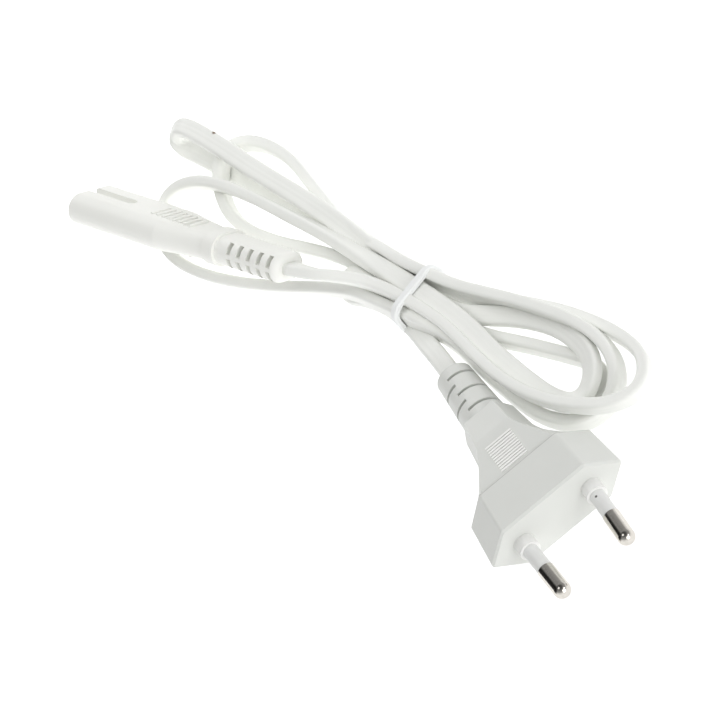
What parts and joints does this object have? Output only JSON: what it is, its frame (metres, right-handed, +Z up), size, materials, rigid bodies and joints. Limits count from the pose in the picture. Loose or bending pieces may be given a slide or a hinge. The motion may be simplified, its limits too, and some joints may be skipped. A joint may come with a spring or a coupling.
{
  "type": "figure eight power lead",
  "caption": "White mains lead with a flat two-pin plug, a figure eight connector and a flat cord gathered in loops by a ring tie.",
  "frame": {"origin": "middle of the plug block's underside, on the surface the lead lies on", "axes": "+X the way the plug's pins point, +Y across the plug, +Z up"},
  "size_m": [0.1844, 0.0858, 0.0173],
  "materials": {
    "plug_white": "satin",
    "connector_white": "satin",
    "carrier_white": "satin",
    "sleeve_white": "satin",
    "pin_nickel": "polished",
    "contact_brass": "plain",
    "core_brown": "plain",
    "core_blue": "plain",
    "cord_white": "satin",
    "tie_white": "semi-gloss"
  },
  "bodies": {
    "root": {"plug_overmould": "plug_white", "plug_bridge": "carrier_white", "live_pin": "pin_nickel", "neutral_pin": "pin_nickel", "live_pin_sleeve": "sleeve_white", "neutral_pin_sleeve": "sleeve_white", "plug_live_core": "core_brown", "plug_neutral_core": "core_blue", "connector_overmould": "connector_white", "connector_insert": "carrier_white", "live_contact": "contact_brass", "neutral_contact": "contact_brass", "connector_live_core": "core_brown", "connector_neutral_core": "core_blue", "plug_live_crimp": "contact_brass", "plug_neutral_crimp": "contact_brass", "connector_live_crimp": "contact_brass", "connector_neutral_crimp": "contact_brass", "power_cord": "cord_white", "cord_tie": "tie_white"}
  },
  "joints": []
}
